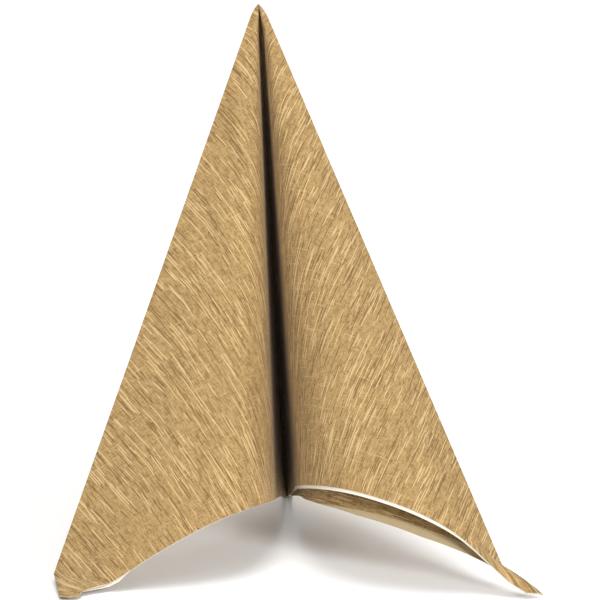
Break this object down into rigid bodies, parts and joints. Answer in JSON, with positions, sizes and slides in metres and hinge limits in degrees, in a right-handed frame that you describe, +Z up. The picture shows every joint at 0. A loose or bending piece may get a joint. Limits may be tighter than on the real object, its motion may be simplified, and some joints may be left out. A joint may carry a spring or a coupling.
{
  "type": "folded paper napkin",
  "caption": "Square paper napkin folded in half and pleated into a standing two-winged tent with a deep front groove and two open pockets.",
  "frame": {"origin": "middle of the bounding box of the base, on the table", "axes": "+Z up from the table to the apex, +Y away from the front, +X to the right of someone looking at the front groove"},
  "size_m": [0.1968, 0.1992, 0.1874],
  "materials": {
    "paper": "matte"
  },
  "bodies": {
    "root": {"napkin": "paper"}
  },
  "joints": []
}
